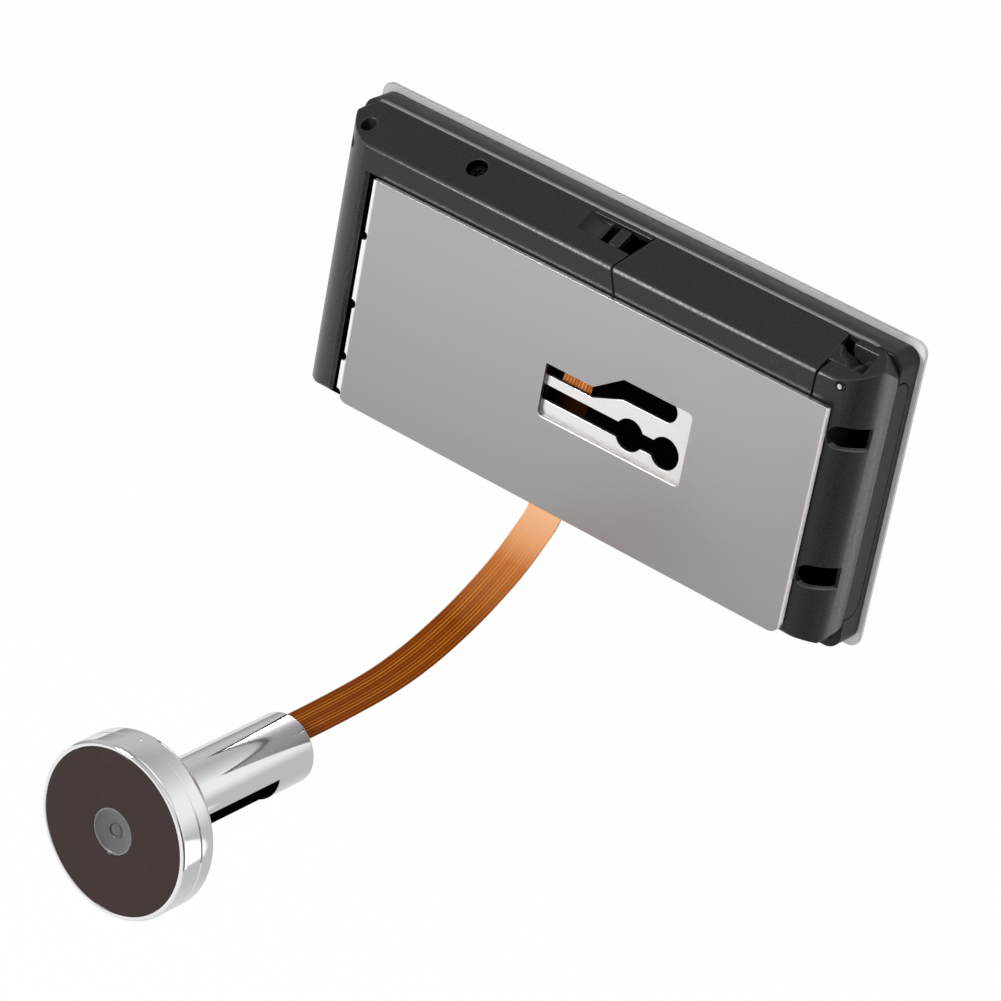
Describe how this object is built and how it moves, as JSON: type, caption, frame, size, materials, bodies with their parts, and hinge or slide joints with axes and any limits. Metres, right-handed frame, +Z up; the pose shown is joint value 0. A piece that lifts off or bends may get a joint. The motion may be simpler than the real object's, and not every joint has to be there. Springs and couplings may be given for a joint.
{
  "type": "peephole door camera",
  "caption": "Door viewer: a flat indoor monitor with a hinged battery cover on a slotted door plate, joined by a flat ribbon to a round camera head on a chrome barrel.",
  "frame": {"origin": "on the door plate's door face, opposite the middle of the front panel", "axes": "+X along the monitor, to the right seen from the door; +Z up, to the side with the battery cover; -Y towards the door and the camera head"},
  "size_m": [0.13, 0.1332, 0.1048],
  "materials": {
    "panel": "clear panel with a light border",
    "dark_case": "fine matt texture",
    "plate_steel": "satin sheet",
    "bright_steel": "bright sheet",
    "pin_steel": "turned",
    "chrome": "polished",
    "face_black": "polished brown-black",
    "window_glass": "frosted",
    "flex_orange": "polyimide film over copper lines",
    "board_green": "solder mask",
    "black_parts": "moulded",
    "ivory_parts": "moulded",
    "switch_metal": "stamped",
    "button_silver": "silver",
    "display": "dark glass",
    "black_rubber": "soft foam",
    "cell_wrap": "printed wrap, bare of print"
  },
  "bodies": {
    "door_side": {"back_plate": "plate_steel", "slotted_plate": "bright_steel", "head_ring": "chrome", "face_disc": "face_black", "lens_window": "window_glass", "lens_holder": "black_parts", "camera_lens": "window_glass", "image_sensor": "black_parts", "sensor_board": "board_green", "head_connector": "ivory_parts", "head_barrel": "chrome", "head_gasket": "black_rubber", "ribbon": "flex_orange", "ribbon_head": "flex_orange"},
    "monitor": {"front_panel": "panel", "front_case": "dark_case", "rear_shell": "dark_case", "contact_springs": "bright_steel", "contact_plates": "bright_steel", "cover_hinge_pin": "pin_steel", "case_screws": "pin_steel", "side_screw": "pin_steel", "ribbon_inner": "flex_orange", "lcd_flex": "flex_orange", "main_board": "board_green", "board_parts": "black_parts", "speaker": "black_parts", "ribbon_connector": "ivory_parts", "button_switch": "switch_metal", "lcd_module": "display", "lcd_gasket": "black_rubber", "battery_cells": "cell_wrap"},
    "battery_cover": {"battery_cover": "dark_case"},
    "cover_latch": {"cover_latch": "dark_case"},
    "view_button": {"view_button": "button_silver"},
    "connector_latch": {"connector_latch": "black_parts"}
  },
  "joints": [
    {"name": "monitor_slide", "type": "slide", "parent": "door_side", "child": "monitor", "axis": [1, 0, 0], "range_m": [0, 0.003]},
    {"name": "cover_hinge", "type": "hinge", "parent": "monitor", "child": "battery_cover", "pos_m": [0.0573, 0.007, 0.0249], "axis": [0, 1, 0], "range_deg": [0, 75]},
    {"name": "latch_slide", "type": "slide", "parent": "monitor", "child": "cover_latch", "axis": [-1, 0, 0], "range_m": [0, 0.0022], "stiffness_N_per_m": 400},
    {"name": "button_press", "type": "slide", "parent": "monitor", "child": "view_button", "axis": [0, -1, 0], "range_m": [0, 0.0006], "stiffness_N_per_m": 1500},
    {"name": "connector_lid", "type": "hinge", "parent": "monitor", "child": "connector_latch", "pos_m": [0, 0.00385, 0.0084], "axis": [-1, 0, 0], "range_deg": [0, 80]}
  ]
}
